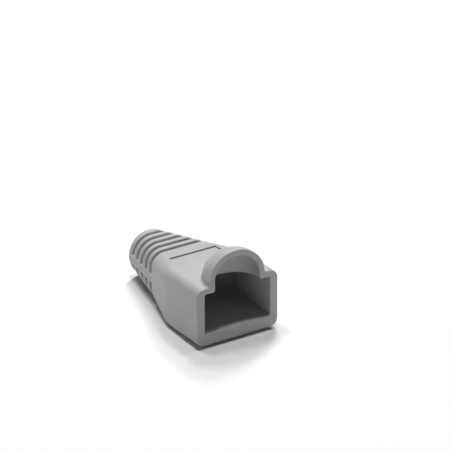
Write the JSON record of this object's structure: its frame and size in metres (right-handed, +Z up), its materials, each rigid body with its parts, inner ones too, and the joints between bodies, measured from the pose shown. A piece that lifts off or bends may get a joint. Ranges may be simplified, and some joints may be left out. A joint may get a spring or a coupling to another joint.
{
  "type": "strain relief boot",
  "caption": "Slip-on moulded boot for a modular network plug, with a hollow bubble over the latch, a label pocket and a ribbed cable relief.",
  "frame": {"origin": "bottom centre of the boot's box, on the plane of its flat belly", "axes": "+X across the plug, +Y along the cable from the mouth to the tail ring, +Z up from the belly to the bubble"},
  "size_m": [0.0148, 0.0256, 0.0143],
  "materials": {
    "soft_pvc": "matte"
  },
  "bodies": {
    "root": {"boot": "soft_pvc"}
  },
  "joints": []
}
